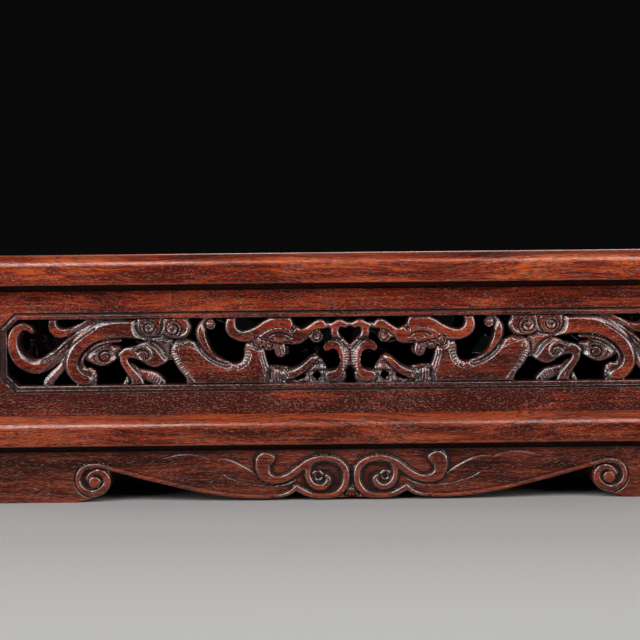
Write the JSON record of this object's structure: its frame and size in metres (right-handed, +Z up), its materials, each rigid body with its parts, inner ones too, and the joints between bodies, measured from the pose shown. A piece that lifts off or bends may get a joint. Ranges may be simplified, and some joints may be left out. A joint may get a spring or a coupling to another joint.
{
  "type": "display stand",
  "caption": "Rectangular hardwood display stand with a framed top, a waist pierced with carved dragons and scrolls, a base moulding and scrolled bracket feet.",
  "frame": {"origin": "on the floor, below the middle of the top", "axes": "+X along the length, +Y to the rear, +Z up"},
  "size_m": [0.288, 0.192, 0.09],
  "materials": {
    "red_hardwood": "waxed and polished",
    "dark_hardwood": "waxed and polished, dark in the recesses",
    "inner_hardwood": "planed, unpolished",
    "pale_wood": "planed, unpolished"
  },
  "bodies": {
    "root": {"top_front_rail": "red_hardwood", "top_rear_rail": "red_hardwood", "top_left_end": "red_hardwood", "top_right_end": "red_hardwood", "top_panel": "red_hardwood", "moulding_front": "red_hardwood", "moulding_rear": "red_hardwood", "moulding_left": "red_hardwood", "moulding_right": "red_hardwood", "waist_front": "dark_hardwood", "waist_rear": "dark_hardwood", "waist_left": "dark_hardwood", "waist_right": "dark_hardwood", "apron_front": "dark_hardwood", "apron_rear": "dark_hardwood", "apron_left": "dark_hardwood", "apron_right": "dark_hardwood", "batten_left": "inner_hardwood", "batten_right": "inner_hardwood", "foot_block_front_left": "inner_hardwood", "foot_block_front_right": "inner_hardwood", "foot_block_rear_left": "inner_hardwood", "foot_block_rear_right": "inner_hardwood", "waist_splines": "pale_wood", "tenon_pins": "pale_wood", "foot_pins": "pale_wood"}
  },
  "joints": []
}
